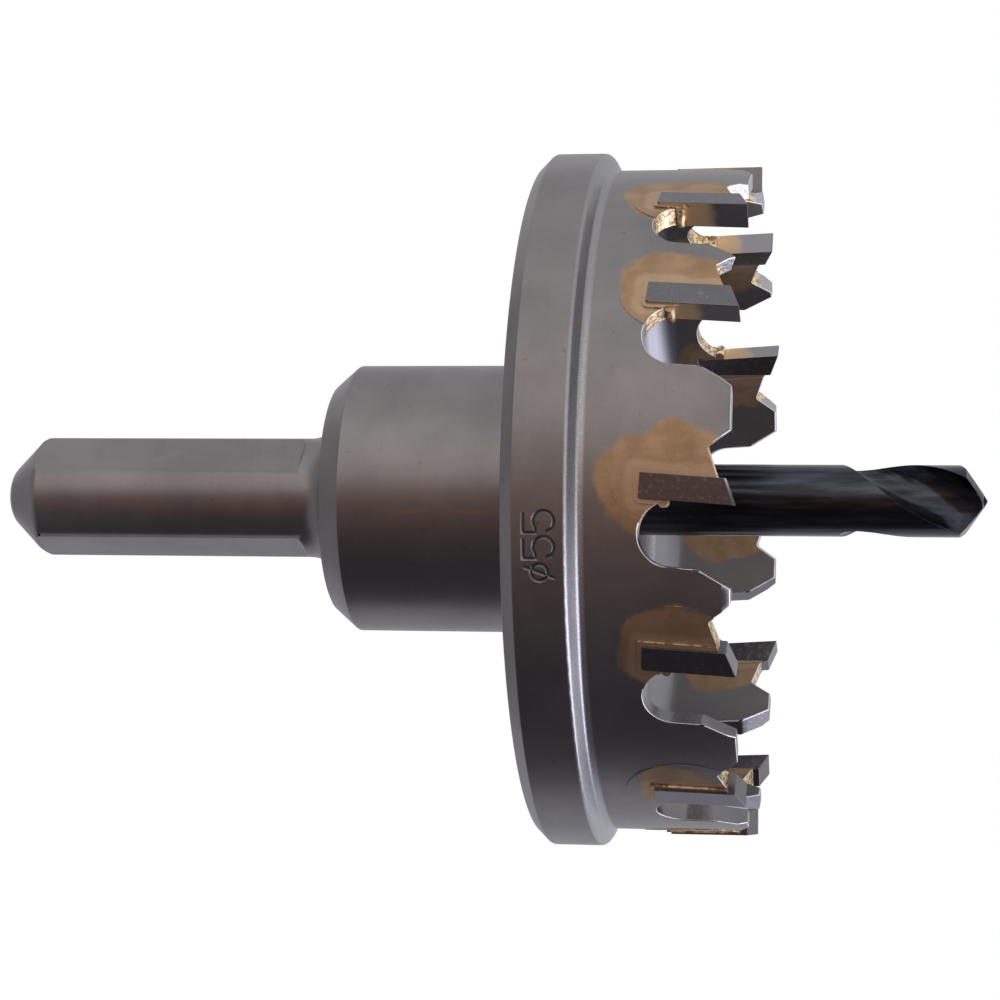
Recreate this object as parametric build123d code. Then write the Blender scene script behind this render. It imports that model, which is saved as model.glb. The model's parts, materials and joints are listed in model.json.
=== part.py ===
from build123d import *
from math import cos, radians, sin, tan
import os

os.makedirs("parts", exist_ok=True)

# The tool's axis is X, with the cutting end towards +X. The origin is on the axis, where the
# shank enters the chuck. Clock angles go round the axis from the front, -Y, by the top, +Z.

# Shank, gripped on three flats
shank_diameter = 10.0
shank_grip_length = 26.0
shank_end_diameter = 3.8
shank_end_rounding = 2.0
shank_corner_rounding = 0.8
flat_count = 3
flat_depth = 0.48
flat_runout_radius = 0.6
flat_clock = 52.3
neck_length = 2.6
neck_fillet = 2.5

# Hub
hub_diameter = 22.2
hub_length = 17.8
hub_bevel_length = 1.9
hub_bevel_depth = 1.65
hub_root_fillet = 1.2

# Cup, with the flange that stops the cut at its full depth
cup_diameter = 54.2
wall_thickness = 1.5
flange_overhang = 1.4
flange_thickness = 5.65
flange_front_lean = 0.6
flange_edge_rounding = 0.45
flange_root_fillet = 0.4
flange_bevel = 1.0
floor_thickness = 5.0
floor_fillet = 3.9
rim_height = 17.0
rim_bevel_length = 0.7
rim_bevel_depth = 0.26

# Carbide tips. Heights run along the axis from the back of the flange.
tip_height = 17.35
tip_overhang = 0.4
tip_inner_overhang = 0.2
tip_length = 7.1
tip_thickness = 1.95
tip_end_relief = 28.0
tip_side_relief = 3.5
tip_corner_radius = 0.25
rake_angle = 4.0
seat_gap = 0.12

# Steps in degrees from each cutting edge to the next, unequal so that the rim doesn't chatter
first_tooth_clock = -0.7
tooth_steps = [32.5, 24.5, 34.9, 30.9, 27.4, 30.3, 30.0, 30.3, 29.8, 30.1, 31.5, 27.8]

# Gullet ahead of each cutting edge, and the notch behind each tip
gullet_depth = 7.0
gullet_width = 4.9
gullet_straight = 2.15
gullet_back_angle = 31.0
gullet_corner_radius = 0.8
notch_height = 15.3
notch_setback = 4.3
notch_root_radius = 0.3
shoulder_angle = 35.0
crown_angle = 19.0

# Braze that holds each tip, and has run out over the wall round it
pad_thickness = 0.05
pad_root = 2.2
pad_back = 3.3
pad_front = 2.3
collar_width = 0.35
collar_thickness = 0.2
bead_radius = 0.36
bead_lead = 0.2
bead_drop = 5.25

# Pilot drill, held in the hub by a set screw
drill_diameter = 5.9
drill_reach = 35.85
drill_length = 50.0
drill_point_angle = 118.0
drill_clearance = 0.03
drill_end_gap = 0.5
drill_end_chamfer = 0.5
bore_chamfer = 0.4
flute_radius = 3.3
web_thickness = 1.4
flute_lead = 31.0
flute_length = 11.95
flute_runout_length = 6.0
flute_top_clock = 90.0
flute_top_distance = 1.3
flute_stations = 14
heel_point_angle = 102.0
heel_facet_turn = 115.0
heel_facet_offset = 0.1

# Set screw, on the side of the hub away from the front
screw_diameter = 5.0
screw_length = 6.0
screw_setback = 9.0
screw_clock = 180.0
screw_clearance = 0.03
screw_seat_depth = 0.3
screw_point_diameter = 3.4
screw_point_length = 0.8
screw_chamfer = 0.4
socket_across_flats = 2.5
socket_depth = 2.6

shank_radius = shank_diameter / 2
hub_radius = hub_diameter / 2
cup_radius = cup_diameter / 2
cup_inner_radius = cup_radius - wall_thickness
flange_radius = cup_radius + flange_overhang
drill_radius = drill_diameter / 2
flange_back = neck_length + hub_length
rim_x = flange_back + rim_height
tip_x = flange_back + tip_height
tip_outer_radius = cup_radius + tip_overhang
tip_inner_radius = cup_inner_radius - tip_inner_overhang
drill_tip = flange_back + drill_reach
drill_end = drill_tip - drill_length
cut_margin = 2.0

# A tooth is drawn with x along the axis, y behind its cutting edge and z outwards. These run
# down its cutting face, which leans back by the rake, and straight ahead of it.
cutting_edge = Vector(tip_x, 0)
down_face = Vector(-cos(radians(rake_angle)), sin(radians(rake_angle)))
ahead = Vector(-sin(radians(rake_angle)), -cos(radians(rake_angle)))


def outwards(clock):
    """The direction straight out from the axis at a clock angle."""
    return Vector(0, -cos(radians(clock)), sin(radians(clock)))


def radial_place(clock):
    """Where a shape drawn on a tooth's axes lies at a clock angle."""
    return Plane(origin=(0, 0, 0), x_dir=(1, 0, 0), z_dir=outwards(clock)).location


def turned(outline):
    """A closed outline in the upper half of the XY plane, turned round the axis."""
    return revolve(make_face(outline), axis=Axis.X)


def quarter(start, end, way=1):
    """A quarter round that leaves its start along the axis, forwards or backwards."""
    return TangentArc(start, end, tangent=(way, 0))


def ring(inner, outer, start, end):
    """A plain ring round the axis."""
    return turned(Polyline((start, inner), (end, inner), (end, outer), (start, outer), close=True))


def face_point(down, forward=0.0):
    """A point so far down the cutting face and so far ahead of it."""
    return cutting_edge + down_face * down + ahead * forward


def through_wall(sketch):
    """A tooth's sketch raised outwards from inside the cup to outside the flange."""
    low = tip_inner_radius - cut_margin
    return extrude(Pos(0, 0, low) * sketch, amount=flange_radius + cut_margin - low)


def rounded(sketch, corner, radius):
    """A sketch with its vertex nearest to a point rounded off."""
    return fillet(sketch.vertices().sort_by_distance(corner)[0], radius)


def gullet_sketch():
    """A round-ended slot ahead of the cutting face, opening out over the tooth before it."""
    radius = gullet_width / 2
    centre = gullet_depth - radius
    top = face_point(-cut_margin)
    face_end = face_point(centre)
    bottom = face_point(gullet_depth, radius)
    back_end = face_point(centre, gullet_width)
    knee = face_point(centre - gullet_straight, gullet_width)
    back_top = Vector(top.X, knee.Y - (top.X - knee.X) * tan(radians(gullet_back_angle)))
    edges = [
        Line(top, face_end),
        ThreePointArc(face_end, bottom, back_end),
        Polyline(back_end, knee, back_top, top),
    ]
    return rounded(make_face(edges), knee, gullet_corner_radius)


def notch_sketch():
    """The V behind a tip, which crowns the tooth and leaves the shoulder after it."""
    root = Vector(flange_back + notch_height, notch_setback)
    top = tip_x + cut_margin
    shoulder_top = Vector(top, root.Y + (top - root.X) * tan(radians(shoulder_angle)))
    crown_run = notch_setback + tip_thickness
    crown_end = Vector(root.X + crown_run * tan(radians(crown_angle)), root.Y - crown_run)
    outline = Polyline(root, shoulder_top, (top, crown_end.Y), crown_end, close=True)
    return rounded(make_face(outline), root, notch_root_radius)


def seat_sketch(lead=0.0):
    """The pocket for a tip, with the braze's gap behind it and below it. A lead carries its
    mouth ahead of the cutting face, as far down as the bead."""
    depth = tip_length + seat_gap
    width = tip_thickness + seat_gap
    pocket = Polyline(
        face_point(-cut_margin),
        face_point(depth),
        face_point(depth, -width),
        face_point(-cut_margin, -width),
        close=True,
    )
    if not lead:
        return make_face(pocket)
    mouth = Polyline(
        face_point(-cut_margin, lead),
        face_point(bead_drop, lead),
        face_point(bead_drop, -width),
        face_point(-cut_margin, -width),
        close=True,
    )
    return make_face(pocket) + make_face(mouth)


def bead_sketch():
    """The drop of braze where the pocket breaks into the round of the gullet."""
    return Pos(face_point(bead_drop, bead_lead)) * Circle(bead_radius)


def tip_sketch():
    """The side view of a tip: a bar whose end is ground back from the cutting edge."""
    relief_drop = tip_thickness * tan(radians(tip_end_relief - rake_angle))
    outline = Polyline(
        face_point(0),
        face_point(tip_length),
        face_point(tip_length, -tip_thickness),
        face_point(relief_drop, -tip_thickness),
        close=True,
    )
    inner_end = make_face(outline).vertices().group_by(Axis.X)[0]
    return fillet(inner_end, tip_corner_radius)


def pad_sketch():
    """The patch of the wall round a tip that the braze has run out over."""
    length = tip_length + pad_root
    back = tip_thickness + pad_back
    middle = face_point(length / 2, (pad_front - back) / 2)
    return Pos(middle) * Rot(0, 0, -rake_angle) * Ellipse(length / 2, (back + pad_front) / 2)


def build_tip():
    """A carbide tip, which narrows behind its cutting edge and is proud of both walls."""
    bar = through_wall(tip_sketch())
    reach = tip_length
    taper = reach * tan(radians(tip_side_relief))
    section = Polyline(
        (-reach, tip_inner_radius - taper),
        (-reach, tip_outer_radius + taper),
        (reach, tip_outer_radius - taper),
        (reach, tip_inner_radius + taper),
        close=True,
    )
    slab = extrude(Plane.YZ * make_face(section), amount=tip_x + cut_margin)
    return bar & slab


def build_braze(tip):
    """The braze in a tip's seat, with a patch and a low collar on the outside of the wall."""
    start, end = flange_back + flange_thickness, tip_x
    patch = ring(cup_radius, cup_radius + pad_thickness, start, end)
    collar_skin = ring(cup_radius, cup_radius + collar_thickness, start, end)
    wall = ring(cup_inner_radius, cup_radius, start, end)
    collar = offset(tip_sketch(), amount=collar_width, kind=Kind.INTERSECTION)
    braze = patch & through_wall(pad_sketch())
    braze += collar_skin & through_wall(collar)
    braze += wall & through_wall(seat_sketch())
    braze -= through_wall(gullet_sketch())
    braze -= through_wall(notch_sketch())
    braze += wall & through_wall(bead_sketch())
    return braze - tip


def shank_flat():
    """What is milled off the shank for one flat, with the cutter's radius at its inner end."""
    across = shank_radius - flat_depth
    run = flat_runout_radius
    outside = across + run
    start = -shank_grip_length - cut_margin
    edges = [
        Polyline((-run, across), (start, across), (start, outside), (0, outside)),
        RadiusArc((-run, across), (0, outside), -run),
    ]
    profile = Plane.XZ * make_face(edges)
    return extrude(profile, amount=shank_radius, both=True)


def body_blank():
    """The shank, hub, flange and cup as they are turned from one bar."""
    end_corner = (-shank_grip_length, shank_end_diameter / 2)
    cone_length = (shank_diameter - shank_end_diameter) / 2
    cone_corner = (-shank_grip_length + cone_length, shank_radius)
    flange_root = (flange_back + flange_thickness, cup_radius)
    flange_edge = (flange_root[0] - flange_front_lean, flange_radius)
    fillet_start = neck_length - neck_fillet
    root_start = flange_back - hub_root_fillet
    floor_x = flange_back + floor_thickness
    floor_radius = cup_inner_radius - floor_fillet
    edges = [
        Polyline(
            (floor_x, 0),
            (-shank_grip_length, 0),
            end_corner,
            cone_corner,
            (fillet_start, shank_radius),
        ),
        quarter((fillet_start, shank_radius), (neck_length, shank_radius + neck_fillet)),
        Polyline(
            (neck_length, shank_radius + neck_fillet),
            (neck_length, hub_radius - hub_bevel_depth),
            (neck_length + hub_bevel_length, hub_radius),
            (root_start, hub_radius),
        ),
        quarter((root_start, hub_radius), (flange_back, hub_radius + hub_root_fillet)),
        Polyline(
            (flange_back, hub_radius + hub_root_fillet),
            (flange_back, flange_radius - flange_bevel),
            (flange_back + flange_bevel, flange_radius),
            flange_edge,
            flange_root,
            (rim_x - rim_bevel_length, cup_radius),
            (rim_x, cup_radius - rim_bevel_depth),
            (rim_x, cup_inner_radius),
            (floor_x + floor_fillet, cup_inner_radius),
        ),
        quarter((floor_x + floor_fillet, cup_inner_radius), (floor_x, floor_radius), -1),
        Line((floor_x, floor_radius), (floor_x, 0)),
    ]
    profile = rounded(make_face(edges), end_corner, shank_end_rounding)
    profile = rounded(profile, cone_corner, shank_corner_rounding)
    profile = rounded(profile, flange_edge, flange_edge_rounding)
    profile = rounded(profile, flange_root, flange_root_fillet)
    return revolve(profile, axis=Axis.X)


def drill_bore():
    """The blind bore for the pilot drill, with the cone that its own drill left."""
    radius = drill_radius + drill_clearance
    mouth = flange_back + floor_thickness
    end = drill_end - drill_end_gap
    cone_end = end - radius / tan(radians(drill_point_angle / 2))
    outline = Polyline(
        (cone_end, 0),
        (end, radius),
        (mouth - bore_chamfer, radius),
        (mouth + cut_margin, radius + bore_chamfer + cut_margin),
        (mouth + cut_margin, 0),
        close=True,
    )
    return turned(outline)


def screw_place():
    """The set screw's axes, with z outwards from the tool's axis."""
    return radial_place(screw_clock) * Pos(flange_back - screw_setback, 0, 0)


def screw_seat_radius():
    """How far the set screw's end stands from the tool's axis, on the drill's flat."""
    return drill_radius - screw_seat_depth


def screw_hole():
    """The set screw's hole, from the bore out through the hub."""
    height = hub_radius + cut_margin
    hole = extrude(Circle(screw_diameter / 2 + screw_clearance), amount=height)
    return screw_place() * hole


def build_set_screw():
    """A headless screw with a dog point and a hexagonal socket."""
    low = screw_seat_radius()
    neck = low + screw_point_length
    top = low + screw_length
    point = extrude(Pos(0, 0, low) * Circle(screw_point_diameter / 2), amount=screw_point_length)
    shaft = extrude(Pos(0, 0, neck) * Circle(screw_diameter / 2), amount=top - neck)
    shaft = chamfer(shaft.edges().filter_by(GeomType.CIRCLE), screw_chamfer)
    hexagon = RegularPolygon(socket_across_flats / 2, 6, major_radius=False)
    socket = extrude(Pos(0, 0, top - socket_depth) * hexagon, amount=socket_depth)
    return screw_place() * (point + shaft - socket)


def flute_clock(x, turn):
    """The clock angle of a flute's middle at a place along the axis."""
    top = drill_tip - flute_length + flute_top_distance
    return flute_top_clock + turn - 360 * (x - top) / flute_lead


def flute_cutter(turn):
    """The helical groove of one flute, which runs out at its back towards the shank."""
    start = drill_tip - flute_length
    full_depth = start + flute_runout_length
    end = drill_tip + cut_margin
    deepest = web_thickness / 2 + flute_radius
    lift = drill_radius - web_thickness / 2
    sections = []
    for step in range(flute_stations + 1):
        x = start + (end - start) * step / flute_stations
        shallow = max(full_depth - x, 0) / flute_runout_length
        centre = outwards(flute_clock(x, turn)) * (deepest + lift * shallow**2)
        sections.append(Pos(Vector(x, 0, 0) + centre) * (Plane.YZ * Circle(flute_radius)))
    return loft(sections)


def heel_facet(turn):
    """The plane that the heel behind one lip is ground back to."""
    corner = drill_tip - drill_radius / tan(radians(drill_point_angle / 2))
    out = outwards(flute_clock(corner, turn) + heel_facet_turn)
    slope = 1 / tan(radians(heel_point_angle / 2))
    origin = (drill_tip + heel_facet_offset, 0, 0)
    return Plane(origin=origin, z_dir=Vector(1, 0, 0) + out * slope)


def drill_blank():
    """The drill as ground round, with its point and the chamfer at its end."""
    point_length = drill_radius / tan(radians(drill_point_angle / 2))
    outline = Polyline(
        (drill_end, 0),
        (drill_end, drill_radius - drill_end_chamfer),
        (drill_end + drill_end_chamfer, drill_radius),
        (drill_tip - point_length, drill_radius),
        (drill_tip, 0),
        close=True,
    )
    return turned(outline)


def build_drill():
    """The pilot drill: two short flutes, a relieved point and a flat for the set screw."""
    drill = drill_blank()
    for turn in (0, 180):
        drill -= flute_cutter(turn)
        drill = split(drill, bisect_by=heel_facet(turn), keep=Keep.BOTTOM)
    flat = extrude(Rectangle(screw_diameter, drill_diameter), amount=drill_radius)
    return drill - screw_place() * Pos(0, 0, screw_seat_radius()) * flat


def build_body(tooth_places):
    """The one-piece body, milled, bored and pocketed for what it carries."""
    body = body_blank()
    flat = shank_flat()
    body -= [radial_place(flat_clock + 360 / flat_count * i) * flat for i in range(flat_count)]
    body -= [drill_bore(), screw_hole()]
    cutter = through_wall(gullet_sketch())
    cutter += through_wall(notch_sketch())
    cutter += through_wall(seat_sketch(bead_lead))
    cutter += through_wall(bead_sketch())
    return body - [place * cutter for place in tooth_places]


def tooth_clocks():
    """The clock angle of each cutting edge."""
    clocks = [first_tooth_clock]
    for step in tooth_steps[:-1]:
        clocks.append(clocks[-1] + step)
    return clocks


places = [radial_place(clock) for clock in tooth_clocks()]
tip = build_tip()
braze = build_braze(tip)
parts = {
    "cutter_body": build_body(places),
    "pilot_drill": build_drill(),
    "drill_set_screw": build_set_screw(),
}
for number, place in enumerate(places, start=1):
    parts[f"carbide_tip_{number:02d}"] = place * tip
    parts[f"braze_{number:02d}"] = place * braze

for name, part in parts.items():
    part.label = name
    export_step(part, f"parts/{name}.step")
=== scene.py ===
import json
from math import cos, hypot, pi, radians, sin, tan

import bpy
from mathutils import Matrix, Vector

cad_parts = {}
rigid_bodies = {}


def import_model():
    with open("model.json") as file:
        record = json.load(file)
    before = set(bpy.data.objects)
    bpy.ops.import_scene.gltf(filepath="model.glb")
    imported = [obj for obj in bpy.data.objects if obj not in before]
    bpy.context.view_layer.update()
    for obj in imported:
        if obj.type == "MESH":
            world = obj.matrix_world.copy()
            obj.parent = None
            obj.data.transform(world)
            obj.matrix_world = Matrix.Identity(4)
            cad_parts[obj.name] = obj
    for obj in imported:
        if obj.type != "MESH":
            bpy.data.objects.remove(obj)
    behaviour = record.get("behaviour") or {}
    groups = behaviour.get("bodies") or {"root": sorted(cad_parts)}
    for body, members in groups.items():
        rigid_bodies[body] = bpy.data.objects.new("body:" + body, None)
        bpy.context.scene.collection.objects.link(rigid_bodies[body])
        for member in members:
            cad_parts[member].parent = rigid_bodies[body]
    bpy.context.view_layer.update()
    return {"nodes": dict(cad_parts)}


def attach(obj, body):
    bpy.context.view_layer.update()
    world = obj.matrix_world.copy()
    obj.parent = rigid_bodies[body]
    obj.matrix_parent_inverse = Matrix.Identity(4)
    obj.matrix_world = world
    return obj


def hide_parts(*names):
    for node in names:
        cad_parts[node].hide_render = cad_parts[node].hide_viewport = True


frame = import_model()

# Cutter body.
# One bar of alloy steel, turned to a shank, hub, stop flange and cup, then milled with gullets, notches and
# seats. It is satin grey, stained by the heat of brazing, and its milled faces and edges stay bright.
# Painted highlights lie on the flange's front corner below the front and on milled faces near the rim on the upper
# side.
MM = 0.001
FLANGE_BACK = 20.4 * MM
FLANGE_FRONT = FLANGE_BACK + 5.65 * MM
FLANGE_RADIUS = 28.5 * MM
CUP_RADIUS = 27.1 * MM
CUP_INNER_RADIUS = 25.6 * MM
TIP_X = FLANGE_BACK + 17.35 * MM
TIP_LENGTH = 7.1 * MM
TIP_THICKNESS = 1.95 * MM
RAKE_SLOPE = tan(radians(4.0))
TOOTH_CLOCKS = [-0.7, 31.8, 56.3, 91.2, 122.1, 149.5, 179.8, 209.8, 240.1, 269.9, 300.0, 331.5]
EDGE_BREAK = 0.08 * MM
MERGE_DISTANCE = 0.002 * MM
SHARP_ANGLE = radians(30)


def on_axis(clock, radius, x):
    """The point at a clock angle, which goes from the front by the top, a radius and a place along the axis."""
    turn = radians(clock)
    return (x, -cos(turn) * radius, sin(turn) * radius)


def only(piece):
    """Makes a piece the one selected and active object."""
    bpy.ops.object.select_all(action="DESELECT")
    piece.select_set(True)
    bpy.context.view_layer.objects.active = piece


def copy_of(node, name):
    """A copy of a CAD node as one closed mesh, with its doubled vertices merged."""
    only(frame["nodes"][node])
    bpy.ops.object.duplicate()
    piece = bpy.context.object
    piece.name = name
    for key in list(piece.keys()):
        del piece[key]
    bpy.ops.object.parent_clear(type="CLEAR_KEEP_TRANSFORM")
    bpy.ops.mesh.customdata_custom_splitnormals_clear()
    bpy.ops.object.mode_set(mode="EDIT")
    bpy.ops.mesh.select_all(action="SELECT")
    bpy.ops.mesh.remove_doubles(threshold=MERGE_DISTANCE)
    bpy.ops.mesh.mark_sharp(clear=True)
    bpy.ops.object.mode_set(mode="OBJECT")
    piece.data.materials.clear()
    return piece


def break_edges(piece, width, left_alone=(0.0, 0.0)):
    """Takes off the sharp edges of a piece, but for those on the flange between two places along the axis."""
    only(piece)
    bpy.ops.object.mode_set(mode="EDIT")
    bpy.ops.mesh.select_all(action="DESELECT")
    bpy.ops.mesh.select_mode(type="EDGE")
    bpy.ops.mesh.edges_select_sharp(sharpness=SHARP_ANGLE)
    bpy.ops.object.mode_set(mode="OBJECT")
    start, end = left_alone
    weights = piece.data.attributes.new("bevel_weight_edge", "FLOAT", "EDGE")
    for edge in piece.data.edges:
        ends = [piece.data.vertices[corner].co for corner in edge.vertices]
        alone = all(start < x < end and hypot(y, z) > FLANGE_RADIUS - 1.0 * MM for x, y, z in ends)
        if edge.select and not alone:
            weights.data[edge.index].value = 1.0
    bevel = piece.modifiers.new("broken edges", "BEVEL")
    bevel.width = width
    bevel.segments = 1
    bevel.limit_method = "WEIGHT"
    bevel.use_clamp_overlap = False
    bpy.ops.object.modifier_apply(modifier=bevel.name)


def finish_copy(piece, node, materials, own_shape=(0.0, 0.0)):
    """Shades a copy as its node is shaded, gives it its materials and lets it stand for the node.

    What lies between two places along the axis keeps its own shading. A broken edge is shaded round.
    """
    only(piece)
    bpy.ops.object.shade_smooth_by_angle(angle=SHARP_ANGLE)
    start, end = own_shape
    as_node = piece.vertex_groups.new(name="as the node")
    as_node.add([v.index for v in piece.data.vertices if not start < v.co.x < end], 1.0, "REPLACE")
    shading = piece.modifiers.new("shading of the node", "DATA_TRANSFER")
    shading.object = frame["nodes"][node]
    shading.use_loop_data = True
    shading.data_types_loops = {"CUSTOM_NORMAL"}
    shading.loop_mapping = "POLYINTERP_NEAREST"
    shading.vertex_group = as_node.name
    bpy.ops.object.modifier_apply(modifier=shading.name)
    piece.vertex_groups.clear()
    for material in materials:
        piece.data.materials.append(material)
    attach(piece, "root")
    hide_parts(node)


def colour(code):
    """An sRGB hex colour as linear values."""
    channels = [int(code[i:i + 2], 16) / 255 for i in (1, 3, 5)]
    return (*[c / 12.92 if c <= 0.04045 else ((c + 0.055) / 1.055) ** 2.4 for c in channels], 1.0)


def plug(tree, socket, value):
    """Sets an input, or links it to a socket or to a node's first output in use. None leaves it as it is."""
    if isinstance(value, bpy.types.Node):
        value = next(output for output in value.outputs if output.enabled)
    if isinstance(value, bpy.types.NodeSocket):
        tree.links.new(value, socket)
    elif value is not None:
        socket.default_value = value


def add(tree, kind, *values, **settings):
    """Adds a node, sets its properties, and fills its inputs in their order."""
    made = tree.nodes.new("ShaderNode" + kind)
    for name, value in settings.items():
        setattr(made, name, value)
    in_use = [socket for socket in made.inputs if socket.enabled]
    for socket, value in zip(in_use, values):
        plug(tree, socket, value)
    return made


def new_material(name):
    """An empty material with its tree, its shader and its object coordinates."""
    material = bpy.data.materials.new(name)
    material.use_nodes = True
    tree = material.node_tree
    shader = tree.nodes["Principled BSDF"]
    coordinates = add(tree, "TexCoord").outputs["Object"]
    return material, tree, shader, coordinates


def feed(tree, shader, **inputs):
    """Fills the shader's inputs by name, with underscores for the spaces in their names."""
    for name, value in inputs.items():
        plug(tree, shader.inputs[name.replace("_", " ")], value)


def polar(tree, coordinates):
    """The place along the tool's axis, and the clock angle from the front by the top."""
    parts = add(tree, "SeparateXYZ", coordinates).outputs
    front = add(tree, "Math", parts[1], -1.0, operation="MULTIPLY")
    return parts[0], add(tree, "Math", parts[2], front, operation="ARCTAN2")


# How far the braze has run round each tip, as a share of the usual patch, and how wide its thick ridge is
PATCH_SHARES = [1.0, 0.9, 0.92, 0.95, 1.0, 0.95, 0.92, 0.85, 0.88, 0.95, 0.78, 0.86]
PATCH_HALF_LENGTH = 4.6 * MM
PATCH_HALF_WIDTH = 3.8 * MM
PATCH_MIDDLE = 1.475 * MM
RIDGE_WIDTH = 1.0 * MM


def round_teeth(tree, clock, middle, lengthways):
    """How far a point is from the nearest tooth's middle, weighed by how far its braze has run."""
    nearest = 10.0
    for tooth, share in zip(TOOTH_CLOCKS, PATCH_SHARES):
        turn = add(
            tree, "Math", add(tree, "Math", clock, radians(tooth), operation="SUBTRACT"), pi, -pi,
            operation="WRAP",
        )
        gap = add(
            tree, "Math", add(tree, "Math", turn, CUP_RADIUS, operation="MULTIPLY"), middle,
            operation="SUBTRACT",
        )
        across = add(tree, "Math", gap, PATCH_HALF_WIDTH, operation="DIVIDE")
        reach = add(
            tree, "Math",
            add(tree, "VectorMath", add(tree, "CombineXYZ", across, lengthways), operation="LENGTH"), share,
            operation="DIVIDE",
        )
        nearest = add(tree, "Math", nearest, reach, operation="MINIMUM")
    return nearest


def beside_tooth(tree, clock, middle):
    """How far round the wall a point is from the nearest tooth's middle line, which leans by the rake."""
    nearest = 1.0
    for tooth in TOOTH_CLOCKS:
        turn = add(
            tree, "Math", add(tree, "Math", clock, radians(tooth), operation="SUBTRACT"), pi, -pi,
            operation="WRAP",
        )
        gap = add(
            tree, "Math", add(tree, "Math", turn, CUP_RADIUS, operation="MULTIPLY"), middle,
            operation="SUBTRACT",
        )
        nearest = add(tree, "Math", nearest, add(tree, "Math", gap, operation="ABSOLUTE"), operation="MINIMUM")
    return nearest


def braze_cover(tree, coordinates):
    """Where braze covers the metal round each tip, with an uneven edge, and where it stands thicker."""
    along, clock = polar(tree, coordinates)
    down = add(tree, "Math", TIP_X, along, operation="SUBTRACT")
    lean = add(tree, "Math", down, RAKE_SLOPE, operation="MULTIPLY")
    patch_middle = add(tree, "Math", lean, PATCH_MIDDLE, operation="ADD")
    lengthways = add(
        tree, "Math", add(tree, "Math", down, PATCH_HALF_LENGTH, operation="DIVIDE"), 1.0, operation="SUBTRACT"
    )
    reach = round_teeth(tree, clock, patch_middle, lengthways)
    reach = add(
        tree, "Math", add(tree, "TexNoise", coordinates, 400, 4.0, 0.6), 0.6, reach, operation="MULTIPLY_ADD"
    )
    reach = add(tree, "Math", add(tree, "TexNoise", coordinates, 150), 0.7, reach, operation="MULTIPLY_ADD")
    cover = add(tree, "MapRange", reach, 1.88, 1.72, interpolation_type="SMOOTHSTEP")
    tip_middle = add(tree, "Math", lean, TIP_THICKNESS / 2, operation="ADD")
    beside = add(tree, "Math", beside_tooth(tree, clock, tip_middle), TIP_THICKNESS / 2, operation="SUBTRACT")
    below = add(tree, "Math", down, TIP_LENGTH, operation="SUBTRACT")
    off_tip = add(
        tree, "VectorMath",
        add(
            tree, "CombineXYZ", add(tree, "Math", beside, 0.0, operation="MAXIMUM"),
            add(tree, "Math", below, 0.0, operation="MAXIMUM"),
        ),
        operation="LENGTH",
    )
    wander = add(tree, "MapRange", add(tree, "TexNoise", coordinates, 400, 2.0), 0.0, 1.0, -0.5 * MM, 0.5 * MM)
    off_tip = add(tree, "Math", off_tip, wander, operation="ADD")
    ridge = add(
        tree, "MapRange", off_tip, 1.5 * RIDGE_WIDTH, 0.7 * RIDGE_WIDTH, interpolation_type="SMOOTHSTEP"
    )
    rim_of_ridge = add(
        tree, "Math", ridge, add(tree, "Math", 1.0, ridge, operation="SUBTRACT"), operation="MULTIPLY"
    )
    return cover, ridge, rim_of_ridge


def braze_colours(tree, coordinates, ridge, rim_of_ridge):
    """Dull gold, mottled, paler on the ridge round the tip and with a dark line along the ridge's foot."""
    cloud = add(tree, "TexNoise", coordinates, 500, 4.0, 0.6)
    base = add(
        tree, "Mix", add(tree, "MapRange", cloud, 0.3, 0.7, interpolation_type="SMOOTHSTEP"), colour("#8c745a"),
        colour("#9f866c"), data_type="RGBA",
    )
    base = add(
        tree, "Mix", add(tree, "Math", ridge, 0.5, operation="MULTIPLY"), base, colour("#ae9880"),
        data_type="RGBA",
    )
    return add(
        tree, "Mix", add(tree, "Math", rim_of_ridge, 0.9, operation="MULTIPLY"), base, colour("#7a5c40"),
        data_type="RGBA",
    )


# A brass-coloured scratch in two strokes on the hub, as clock angle and runs along the axis
SCRATCH_CLOCK = radians(-5.2)
SCRATCH_RUNS = [(-11.3 * MM, -8.0 * MM), (-6.5 * MM, -2.9 * MM)]
SCRATCH_WIDTH = 0.13 * MM
HUB_RADIUS = 11.1 * MM


def scratch(tree, coordinates, along, clock):
    """Where the scratch shows."""
    wander = add(tree, "MapRange", add(tree, "TexNoise", coordinates, 500), 0.0, 1.0, -0.3 * MM, 0.3 * MM)
    turned = add(
        tree, "Math", add(tree, "Math", clock, SCRATCH_CLOCK, operation="SUBTRACT"), HUB_RADIUS,
        operation="MULTIPLY",
    )
    off = add(tree, "Math", add(tree, "Math", turned, wander, operation="ADD"), operation="ABSOLUTE")
    narrow = add(tree, "MapRange", off, SCRATCH_WIDTH, 0.3 * SCRATCH_WIDTH, interpolation_type="SMOOTHSTEP")
    shown = 0.0
    for start, end in SCRATCH_RUNS:
        inside = add(
            tree, "Math",
            add(
                tree, "MapRange", along, FLANGE_BACK + start, FLANGE_BACK + start + 0.8 * MM,
                interpolation_type="SMOOTHSTEP",
            ),
            add(
                tree, "MapRange", along, FLANGE_BACK + end, FLANGE_BACK + end - 0.8 * MM,
                interpolation_type="SMOOTHSTEP",
            ),
            operation="MULTIPLY",
        )
        shown = add(tree, "Math", shown, inside, operation="ADD")
    return add(tree, "Math", narrow, shown, operation="MULTIPLY")


# The flange's front corner, a little lighter all round and with a painted highlight on the side below the front
CORNER_RUN = (FLANGE_FRONT - 0.75 * MM, FLANGE_FRONT + 0.5 * MM)


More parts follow.
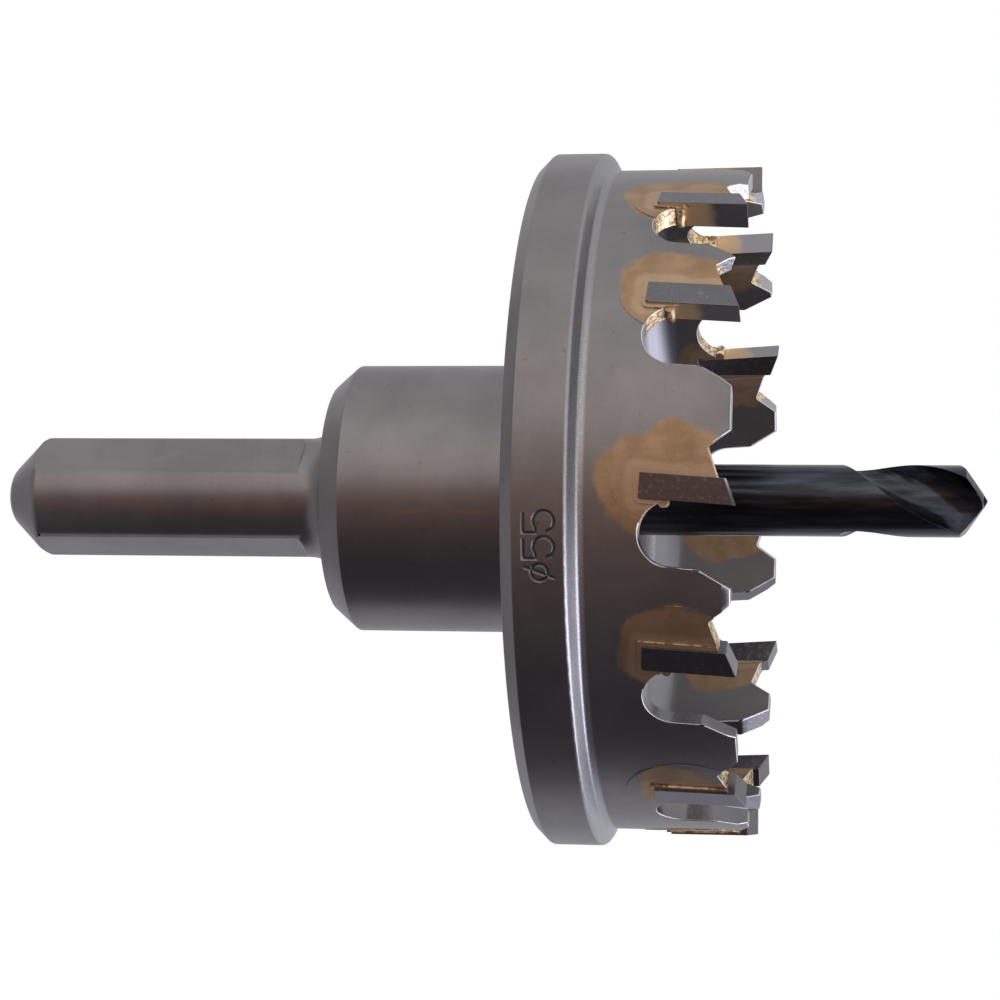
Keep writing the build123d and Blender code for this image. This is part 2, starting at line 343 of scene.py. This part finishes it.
def lighter_corner_and_painted_highlight(tree, along, clock):
    """Where the flange's front corner is lighter: a little all round, and most below the front, as a painted
    highlight.
    """
    start, end = CORNER_RUN
    there = add(
        tree, "Math",
        add(tree, "MapRange", along, start - 0.1 * MM, start + 0.1 * MM, interpolation_type="SMOOTHSTEP"),
        add(tree, "MapRange", along, end + 0.15 * MM, end - 0.15 * MM, interpolation_type="SMOOTHSTEP"),
        operation="MULTIPLY",
    )
    return add(
        tree, "Math", there,
        add(
            tree, "MapRange",
            add(tree, "MapRange", clock, radians(40.0), radians(-6.0), interpolation_type="SMOOTHSTEP"), 0.0,
            1.0, 0.35, 1.0,
        ),
        operation="MULTIPLY",
    )


def steel_ground(tree, coordinates):
    """Satin steel's colour, roughness and height: fine grain, lines from the lathe, clouds, a few dark specks."""
    along, clock = polar(tree, coordinates)
    parts = add(tree, "SeparateXYZ", coordinates).outputs
    grain = add(tree, "TexNoise", coordinates, 7000, 3.0)
    stretched = add(tree, "Mapping", coordinates, None, None, (14.0, 0.5, 0.5))
    lines = add(tree, "TexNoise", stretched, 900, 2.0)
    cloud = add(
        tree, "MapRange", add(tree, "TexNoise", coordinates, 130, 4.0, 0.62), 0.3, 0.7,
        interpolation_type="SMOOTHSTEP",
    )
    base = add(tree, "Mix", cloud, colour("#6a6869"), colour("#787677"), data_type="RGBA")
    base = add(
        tree, "Mix", add(tree, "Math", lines, 0.3, operation="MULTIPLY"), base, colour("#858384"),
        data_type="RGBA",
    )
    spots = add(tree, "TexVoronoi", coordinates, 700.0)
    rare = add(
        tree, "MapRange", add(tree, "TexNoise", coordinates, 900), 0.6, 0.66, interpolation_type="SMOOTHSTEP"
    )
    speck = add(
        tree, "Math", add(tree, "MapRange", spots, 0.2, 0.1, interpolation_type="SMOOTHSTEP"), rare,
        operation="MULTIPLY",
    )
    base = add(
        tree, "Mix", add(tree, "Math", speck, 0.35, operation="MULTIPLY"), base, colour("#4c4846"),
        data_type="RGBA",
    )
    inside = add(
        tree, "MapRange", add(tree, "VectorMath", add(tree, "CombineXYZ", *parts[1:]), operation="LENGTH"),
        CUP_INNER_RADIUS - 0.02 * MM, CUP_INNER_RADIUS - 0.1 * MM, interpolation_type="SMOOTHSTEP",
    )
    at_floor = add(
        tree, "Math", inside,
        add(
            tree, "MapRange", along, FLANGE_FRONT + 3.2 * MM, FLANGE_FRONT + 2.6 * MM,
            interpolation_type="SMOOTHSTEP",
        ),
        operation="MULTIPLY",
    )
    at_floor = add(
        tree, "Math", at_floor,
        add(
            tree, "MapRange", along, FLANGE_FRONT - 1.2 * MM, FLANGE_FRONT - 1.0 * MM,
            interpolation_type="SMOOTHSTEP",
        ),
        operation="MULTIPLY",
    )
    base = add(tree, "Mix", at_floor, base, colour("#86868d"), data_type="RGBA")
    # Painted highlight: the flange's front corner is lighter, most of all on the side below the front
    corner = add(tree, "Mix", grain, colour("#77777c"), colour("#c6c6cc"), data_type="RGBA")
    base = add(tree, "Mix", lighter_corner_and_painted_highlight(tree, along, clock), base, corner, data_type="RGBA")
    base = add(tree, "Mix", scratch(tree, coordinates, along, clock), base, colour("#8c7468"), data_type="RGBA")
    height = add(tree, "Math", lines, 0.6, grain, operation="MULTIPLY_ADD")
    height = add(tree, "Math", speck, -2.0, height, operation="MULTIPLY_ADD")
    return base, add(tree, "MapRange", grain, 0.0, 1.0, 0.32, 0.46), height


def sideways(tree, coordinates):
    """How far a surface looks round or along the tool, and not outwards or inwards."""
    facing = add(tree, "TexCoord").outputs["Normal"]
    outwards = add(tree, "VectorMath", coordinates, (0.0, 1.0, 1.0), operation="MULTIPLY")
    outwards = add(tree, "VectorMath", outwards, operation="NORMALIZE")
    along = add(tree, "VectorMath", facing, outwards, operation="DOT_PRODUCT")
    return add(
        tree, "MapRange", add(tree, "Math", along, operation="ABSOLUTE"), 0.85, 0.55,
        interpolation_type="SMOOTHSTEP",
    )


def stained_steel(name, depth):
    """Satin steel with braze over it round the tips, where it is rougher and mottled, with painted glints where it
    looks sideways.
    """
    material, tree, shader, coordinates = new_material(name)
    base, rough, height = steel_ground(tree, coordinates)
    cover, ridge, foot = braze_cover(tree, coordinates)
    base = add(tree, "Mix", cover, base, braze_colours(tree, coordinates, ridge, foot), data_type="RGBA")
    rough = add(tree, "Math", cover, 0.12, rough, operation="MULTIPLY_ADD")
    pits = add(tree, "TexNoise", coordinates, 1200, 3.0, 0.6)
    # Painted glints: braze faces that look sideways get bright gold flecks, and lumpy bumps
    sideways_lumps_and_painted_glints = add(tree, "Math", cover, sideways(tree, coordinates), operation="MULTIPLY")
    bright = add(
        tree, "Mix", add(tree, "MapRange", pits, 0.42, 0.58, interpolation_type="SMOOTHSTEP"),
        colour("#8a6a44"), colour("#f0dfbe"), data_type="RGBA",
    )
    base = add(tree, "Mix", sideways_lumps_and_painted_glints, base, bright, data_type="RGBA")
    height = add(
        tree, "Math", add(tree, "Math", pits, cover, operation="MULTIPLY"), 3.0, height,
        operation="MULTIPLY_ADD",
    )
    height = add(
        tree, "Math", add(tree, "Math", pits, sideways_lumps_and_painted_glints, operation="MULTIPLY"), 12.0, height,
        operation="MULTIPLY_ADD",
    )
    feed(
        tree, shader, Base_Color=base, Metallic=1.0, Roughness=rough,
        Normal=add(tree, "Bump", 0.3, depth, None, height),
    )
    return material


def milled_steel():
    """Fresh milled steel, with marks and a painted highlight near the rim on the upper side, and golden braze under
    the tips.
    """
    material, tree, shader, coordinates = new_material("milled alloy steel")
    along, clock = polar(tree, coordinates)
    marks = add(tree, "TexNoise", coordinates, 2600, 3.0, 0.7)
    cover = braze_cover(tree, coordinates)[0]
    # Painted highlight: near the rim, milled faces on the upper side are lighter, and their marks deeper
    rim_marks_and_painted_highlight = add(tree, "MapRange", along, TIP_X - 3.4 * MM, TIP_X - 2.6 * MM, interpolation_type="SMOOTHSTEP")
    rim_marks_and_painted_highlight = add(
        tree, "Math", rim_marks_and_painted_highlight,
        add(tree, "MapRange", clock, radians(5.0), radians(30.0), interpolation_type="SMOOTHSTEP"),
        operation="MULTIPLY",
    )
    base = add(
        tree, "Mix", add(tree, "TexNoise", coordinates, 400, 3.0), colour("#646367"), colour("#7a797e"),
        data_type="RGBA",
    )
    base = add(tree, "Mix", rim_marks_and_painted_highlight, base, colour("#a4a3aa"), data_type="RGBA")
    base = add(
        tree, "Mix", cover, base,
        add(
            tree, "Mix", add(tree, "MapRange", marks, 0.4, 0.6, interpolation_type="SMOOTHSTEP"),
            colour("#a07c50"), colour("#f0dcb8"), data_type="RGBA",
        ),
        data_type="RGBA",
    )
    torn = add(tree, "Math", rim_marks_and_painted_highlight, cover, operation="MAXIMUM")
    depth = add(
        tree, "Math", marks, add(tree, "Math", torn, 0.9, 0.1, operation="MULTIPLY_ADD"), operation="MULTIPLY"
    )
    rough = add(tree, "MapRange", marks, 0.0, 1.0, 0.2, 0.38)
    feed(
        tree, shader, Base_Color=base, Metallic=1.0, Roughness=rough,
        Normal=add(tree, "Bump", 0.8, 0.12 * MM, None, depth),
    )
    return material


def bare_edge():
    """Edges rubbed bare, which show as thin bright lines."""
    material, tree, shader, coordinates = new_material("bare steel edge")
    base = add(
        tree, "Mix", add(tree, "TexNoise", coordinates, 900, 3.0), colour("#b8b8be"), colour("#e4e4ea"),
        data_type="RGBA",
    )
    feed(tree, shader, Base_Color=base, Metallic=1.0, Roughness=0.35)
    return material


body = copy_of("cutter_body", "saw_body")

# Size mark, struck into the flange with a V edge: a diameter sign and two figures, read upwards with their tops
# to the shank. Each stroke is a run of points in mm, to the right and up in a figure.
MARK_FOOT = FLANGE_BACK + 4.25 * MM
GROOVE_SIZE = 0.21
GROOVE_LIFT = 0.05
RING_RADIUS, RING_POINTS = 0.62, 28
BOWL_RADIUS, BOWL_POINTS = 0.78, 22
BOWL_START, BOWL_END = radians(128), radians(-165)
BOWL_TURNS = [BOWL_START + (BOWL_END - BOWL_START) * i / (BOWL_POINTS - 1) for i in range(BOWL_POINTS)]
BOWL = [(0.85 + BOWL_RADIUS * cos(turn), 0.82 + BOWL_RADIUS * sin(turn)) for turn in BOWL_TURNS]
FIVE = [[(1.5, 2.35), (0.0, 2.35), (0.0, 1.42)] + BOWL]
RING_TURNS = [2 * pi * i / RING_POINTS for i in range(RING_POINTS)]
RING = [(RING_RADIUS * cos(turn), 1.16 + RING_RADIUS * sin(turn)) for turn in RING_TURNS]
DIAMETER_SIGN = [RING, [(0.42, 2.36), (-0.43, 0.0)]]
MARK = [(DIAMETER_SIGN, -10.8), (FIVE, -8.72), (FIVE, -4.84)]


def strike(piece, stroke, clock):
    """Cuts one stroke into the flange."""
    curve = bpy.data.curves.new("stroke", "CURVE")
    curve.dimensions = "2D"
    curve.fill_mode = "NONE"
    curve.bevel_depth = GROOVE_SIZE
    curve.bevel_resolution = 0
    curve.use_fill_caps = True
    spline = curve.splines.new("POLY")
    spline.points.add(len(stroke) - 1)
    spline.use_cyclic_u = stroke is RING
    for point, (right, up) in zip(spline.points, stroke):
        point.co = (right, up, 0.0, 1.0)
    groove = bpy.data.objects.new("stroke", curve)
    bpy.context.scene.collection.objects.link(groove)
    only(groove)
    bpy.ops.object.convert(target="MESH")
    groove = bpy.context.object
    for vertex in groove.data.vertices:
        right, up, height = vertex.co
        turned = clock + right * MM / FLANGE_RADIUS * 180 / pi
        vertex.co = on_axis(turned, FLANGE_RADIUS + (height + GROOVE_LIFT) * MM, MARK_FOOT - up * MM)
    bpy.ops.object.mode_set(mode="EDIT")
    bpy.ops.mesh.select_all(action="SELECT")
    bpy.ops.mesh.remove_doubles(threshold=MERGE_DISTANCE)
    bpy.ops.mesh.normals_make_consistent(inside=False)
    bpy.ops.object.mode_set(mode="OBJECT")
    only(piece)
    cut = piece.modifiers.new("stroke", "BOOLEAN")
    cut.operation = "DIFFERENCE"
    cut.solver = "EXACT"
    cut.use_self = True
    cut.object = groove
    bpy.ops.object.modifier_apply(modifier=cut.name)
    bpy.data.objects.remove(groove)


for strokes, clock in MARK:
    for stroke in strokes:
        strike(body, stroke, clock)
MILLED_START = FLANGE_FRONT + 0.6 * MM
break_edges(body, EDGE_BREAK, (FLANGE_BACK + 1.2 * MM, FLANGE_FRONT - 0.35 * MM))

# Below the first share a face looks sideways, so it was milled. Up to the second it is a broken edge.
MILLED_SHARE = 0.3
EDGE_SHARE = 0.9
MARK_RUN = (FLANGE_BACK + 1.2 * MM, FLANGE_FRONT - 0.9 * MM)
steel = stained_steel("satin turned alloy steel", 0.01 * MM)
finish_copy(body, "cutter_body", [steel, milled_steel(), bare_edge()], MARK_RUN)
for face in body.data.polygons:
    x, y, z = face.center
    out = hypot(y, z)
    outwards = abs(face.normal.y * y + face.normal.z * z) / out
    if x > MILLED_START and out > CUP_INNER_RADIUS - EDGE_BREAK and outwards < EDGE_SHARE:
        face.material_index = 1 if outwards < MILLED_SHARE else 2


# Braze.
# A silver brazing alloy, which ran under and round each tip and over the wall beside it. It is a dull gold,
# and stands in a low ridge round the tip and in a bright drop under its cutting face.
# Braze faces that look sideways, the drop's among them, carry painted glints.
def dress(names, material):
    """Gives CAD nodes their material."""
    for name in names:
        slots = frame["nodes"][name].data.materials
        slots.clear()
        slots.append(material)


TOOTH_NUMBERS = [f"{number:02d}" for number in range(1, len(TOOTH_CLOCKS) + 1)]
dress([f"braze_{number}" for number in TOOTH_NUMBERS], stained_steel("silver brazing alloy", 0.02 * MM))


# Carbide tips.
# Pressed and sintered tungsten carbide, brazed in and then ground. The outer and end faces are a bluish mid
# grey. The cutting face is brown with braze at its root, and black and polished towards the rim.
TIP_EDGE_BREAK = 0.05 * MM
FACE_SHARE = 0.8


def ground_carbide():
    """Mid grey, finely ground, with a few bright flecks."""
    material, tree, shader, coordinates = new_material("ground tungsten carbide")
    flecks = add(
        tree, "MapRange", add(tree, "TexNoise", coordinates, 2400, 3.0, 0.7), 0.5, 0.75,
        interpolation_type="SMOOTHSTEP",
    )
    base = add(
        tree, "Mix", add(tree, "TexNoise", coordinates, 500, 3.0), colour("#5e5d61"), colour("#69686d"),
        data_type="RGBA",
    )
    base = add(
        tree, "Mix", add(tree, "Math", flecks, 0.25, operation="MULTIPLY"), base, colour("#8c8c94"),
        data_type="RGBA",
    )
    rough = add(tree, "MapRange", flecks, 0.0, 1.0, 0.2, 0.34)
    height = add(tree, "TexNoise", coordinates, 3000, 3.0)
    feed(
        tree, shader, Base_Color=base, Metallic=1.0, Roughness=rough,
        Normal=add(tree, "Bump", 0.3, 0.01 * MM, None, height),
    )
    return material


def cutting_face():
    """Brown braze stain at the root, which gives way to black polished carbide with glints."""
    material, tree, shader, coordinates = new_material("polished carbide face with braze stain")
    along = add(tree, "SeparateXYZ", coordinates).outputs[0]
    wander = add(tree, "MapRange", add(tree, "TexNoise", coordinates, 500, 3.0), 0.0, 1.0, -1.2 * MM, 1.2 * MM)
    place = add(tree, "Math", along, wander, operation="ADD")
    clean = add(tree, "MapRange", place, TIP_X - 3.4 * MM, TIP_X - 2.2 * MM, interpolation_type="SMOOTHSTEP")
    stain = add(
        tree, "Mix",
        add(tree, "MapRange", place, TIP_X - 6.0 * MM, TIP_X - 3.4 * MM, interpolation_type="SMOOTHSTEP"),
        colour("#dcbc92"), colour("#bda484"), data_type="RGBA",
    )
    base = add(tree, "Mix", clean, stain, colour("#807f84"), data_type="RGBA")
    glint = add(
        tree, "MapRange", add(tree, "TexNoise", coordinates, 1500, 2.0), 0.7, 0.74,
        interpolation_type="SMOOTHSTEP",
    )
    base = add(
        tree, "Mix", add(tree, "Math", glint, clean, operation="MULTIPLY"), base, colour("#8c8c94"),
        data_type="RGBA",
    )
    rough = add(tree, "MapRange", clean, 0.0, 1.0, 0.6, 0.35)
    feed(tree, shader, Base_Color=base, Metallic=1.0, Roughness=rough)
    return material


tip_materials = [ground_carbide(), cutting_face()]
for number, clock in zip(TOOTH_NUMBERS, TOOTH_CLOCKS):
    tip = copy_of(f"carbide_tip_{number}", f"tip_{number}")
    break_edges(tip, TIP_EDGE_BREAK)
    finish_copy(tip, f"carbide_tip_{number}", tip_materials)
    ahead = on_axis(clock - 90.0, 1.0, 0.0)
    for face in tip.data.polygons:
        if face.normal.y * ahead[1] + face.normal.z * ahead[2] > FACE_SHARE:
            face.material_index = 1


# Pilot drill.
# High-speed steel, ground and blackened by steam, then oiled. It is a glossy black with faint grinding
# streaks along it, and its edges glint.
def black_oxide():
    """Glossy black with streaks along the axis."""
    material, tree, shader, coordinates = new_material("black oxide on high-speed steel")
    stretched = add(tree, "Mapping", coordinates, None, None, (0.12, 1.0, 1.0))
    streaks = add(tree, "TexNoise", stretched, 1500, 4.0, 0.6)
    base = add(
        tree, "Mix", add(tree, "MapRange", streaks, 0.35, 0.7, interpolation_type="SMOOTHSTEP"),
        colour("#2e2f36"), colour("#454851"), data_type="RGBA",
    )
    rough = add(tree, "MapRange", streaks, 0.0, 1.0, 0.16, 0.3)
    feed(
        tree, shader, Base_Color=base, Metallic=1.0, Roughness=rough,
        Normal=add(tree, "Bump", 0.3, 0.01 * MM, None, streaks),
    )
    return material


oxide = black_oxide()
drill = copy_of("pilot_drill", "drill")
break_edges(drill, 0.04 * MM)
finish_copy(drill, "pilot_drill", [oxide])

# Set screw.
# An alloy steel screw, blackened and oiled, with no head and a hexagonal socket. It is turned into the far
# side of the hub until it bears on the drill's flat.
dress(["drill_set_screw"], oxide)

# Floor, backdrop and lights.
# A pale floor well below the tool, which is held by its shank, a white world and one large soft lamp overhead.
# Cards that only reflections see stand in front, from warm white at the top to black, and others lie below
# the tool, behind the shank and beyond the cutting end.
FLOOR_HEIGHT = -100 * MM
FLOOR_RADIUS = 0.34


def glow(name, code, strength):
    """A plain glowing surface."""
    material = bpy.data.materials.new(name)
    material.use_nodes = True
    tree = material.node_tree
    tree.nodes.clear()
    shine = add(tree, "Emission", colour(code), strength)
    add(tree, "OutputMaterial", shine)
    return material


def floor_paint():
    """Pale paint, which fades out towards the floor's edge and isn't seen from below."""
    material = bpy.data.materials.new("pale floor paint")
    material.use_nodes = True
    tree = material.node_tree
    tree.nodes.clear()
    coordinates = add(tree, "TexCoord").outputs["Object"]
    away = add(tree, "VectorMath", coordinates, operation="LENGTH")
    paint = add(tree, "BsdfDiffuse", colour("#fafafa"))
    clear = add(tree, "BsdfTransparent")
    fade = add(
        tree, "MapRange", away, 0.35 * FLOOR_RADIUS, 0.95 * FLOOR_RADIUS, interpolation_type="SMOOTHSTEP"
    )
    below = add(tree, "NewGeometry").outputs["Backfacing"]
    hidden = add(tree, "Math", fade, below, operation="MAXIMUM")
    made = add(tree, "MixShader", hidden, paint, clear)
    add(tree, "OutputMaterial", made)
    return material


bpy.ops.mesh.primitive_circle_add(vertices=96, radius=FLOOR_RADIUS, fill_type="NGON", location=(0.02, 0, FLOOR_HEIGHT))
floor = bpy.context.object
floor.name = "floor"
floor.data.materials.append(floor_paint())
floor.visible_glossy = False


def card(name, points, material):
    """A flat card that only reflections see."""
    mesh = bpy.data.meshes.new(name)
    mesh.from_pydata(points, [], [tuple(range(len(points)))])
    made = bpy.data.objects.new(name, mesh)
    bpy.context.scene.collection.objects.link(made)
    mesh.materials.append(material)
    made.visible_camera = False
    made.visible_diffuse = False
    made.visible_shadow = False
    made.visible_transmission = False


CARD_DISTANCE = 0.30
CARD_HALF_WIDTH = 0.35
CARD_RIGHT = 0.2


def front_card(name, low, high, code, strength):
    """An upright card in front of the tool, between two heights."""
    w, y = CARD_HALF_WIDTH, -CARD_DISTANCE
    points = [(-w, y, low), (CARD_RIGHT, y, low), (CARD_RIGHT, y, high), (-w, y, high)]
    card(name, points, glow(name, code, strength))


front_card("warm_card", 0.072, 0.4, "#fff5ee", 1.4)
front_card("tan_card", -0.042, 0.072, "#ac8474", 1.0)
front_card("brown_card", -0.17, -0.042, "#8a7064", 1.0)
front_card("black_card", -0.35, -0.17, "#5b5457", 1.0)
w, near, back, z = CARD_HALF_WIDTH, -CARD_DISTANCE, 0.1, -0.35
points = [(-w, near, z), (w, near, z), (w, back, z), (-w, back, z)]
card("black_card_below", points, glow("black card below", "#5a545b", 1.0))
points = [(-0.45, -0.4, -0.4), (-0.45, 0.3, -0.4), (-0.45, 0.3, 0.4), (-0.45, -0.4, 0.4)]
card("grey_card_behind_shank", points, glow("grey card behind the shank", "#c6c2c6", 1.0))
points = [(0.5, -0.6, -0.6), (0.5, 0.3, -0.6), (0.5, 0.3, -0.12), (0.5, -0.6, -0.12)]
card("bright_card_at_the_cutting_end", points, glow("bright card at the cutting end", "#f4f4ff", 4.0))

world = bpy.data.worlds.new("white surroundings")
world.use_nodes = True
bpy.context.scene.world = world
tree = world.node_tree
tree.nodes.clear()
rays = add(tree, "LightPath").outputs
direction = add(tree, "TexCoord").outputs["Generated"]
towards = add(tree, "SeparateXYZ", direction).outputs
height = towards[2]
seen = add(tree, "Math", rays["Is Camera Ray"], rays["Is Glossy Ray"], operation="MAXIMUM")
seen = add(tree, "Math", seen, rays["Is Transmission Ray"], operation="MAXIMUM")
ambient = add(
    tree, "Mix", add(tree, "MapRange", height, -0.4, 0.4, interpolation_type="SMOOTHSTEP"), colour("#707078"),
    colour("#d8d8dc"), data_type="RGBA",
)
mirrored = add(
    tree, "Mix", add(tree, "MapRange", height, 0.2, -0.5, interpolation_type="SMOOTHSTEP"), colour("#fffefd"),
    colour("#f0f0ff"), data_type="RGBA",
)
mirrored = add(
    tree, "Mix", add(tree, "MapRange", towards[1], 0.3, 0.85, interpolation_type="SMOOTHSTEP"), mirrored,
    colour("#e2e2e6"), data_type="RGBA",
)
white = add(tree, "Mix", rays["Is Camera Ray"], mirrored, colour("#ffffff"), data_type="RGBA")
sky = add(tree, "Mix", seen, ambient, white, data_type="RGBA")
light = add(tree, "Background", sky, 1.0)
add(tree, "OutputWorld", light)


def soft_lamp(name, place, aim, size, watts):
    """A square soft lamp that points at a place on the tool."""
    bpy.ops.object.light_add(type="AREA", location=place)
    lamp = bpy.context.object
    lamp.name = name
    lamp.data.shape = "SQUARE"
    lamp.data.size = size
    lamp.data.energy = watts
    lamp.rotation_euler = (Vector(aim) - Vector(place)).to_track_quat("-Z", "Y").to_euler()
    return lamp


soft_lamp("overhead_lamp", (0.02, -0.42, 0.42), (0.02, 0, 0), 0.5, 0.35)

# Camera, where the photographer's was
CAMERA_PLACE = (54.596 * MM, -240.727 * MM, 0.599 * MM)
CAMERA_TURN = (radians(89.837), radians(-0.295), radians(9.094))
bpy.ops.object.camera_add(location=CAMERA_PLACE, rotation=CAMERA_TURN)
camera = bpy.context.object
camera.data.sensor_width = 36.0
camera.data.lens = 105.166
camera.data.clip_start = 0.01
camera.data.clip_end = 10.0
bpy.context.scene.camera = camera
bpy.context.scene.view_settings.view_transform = "Standard"
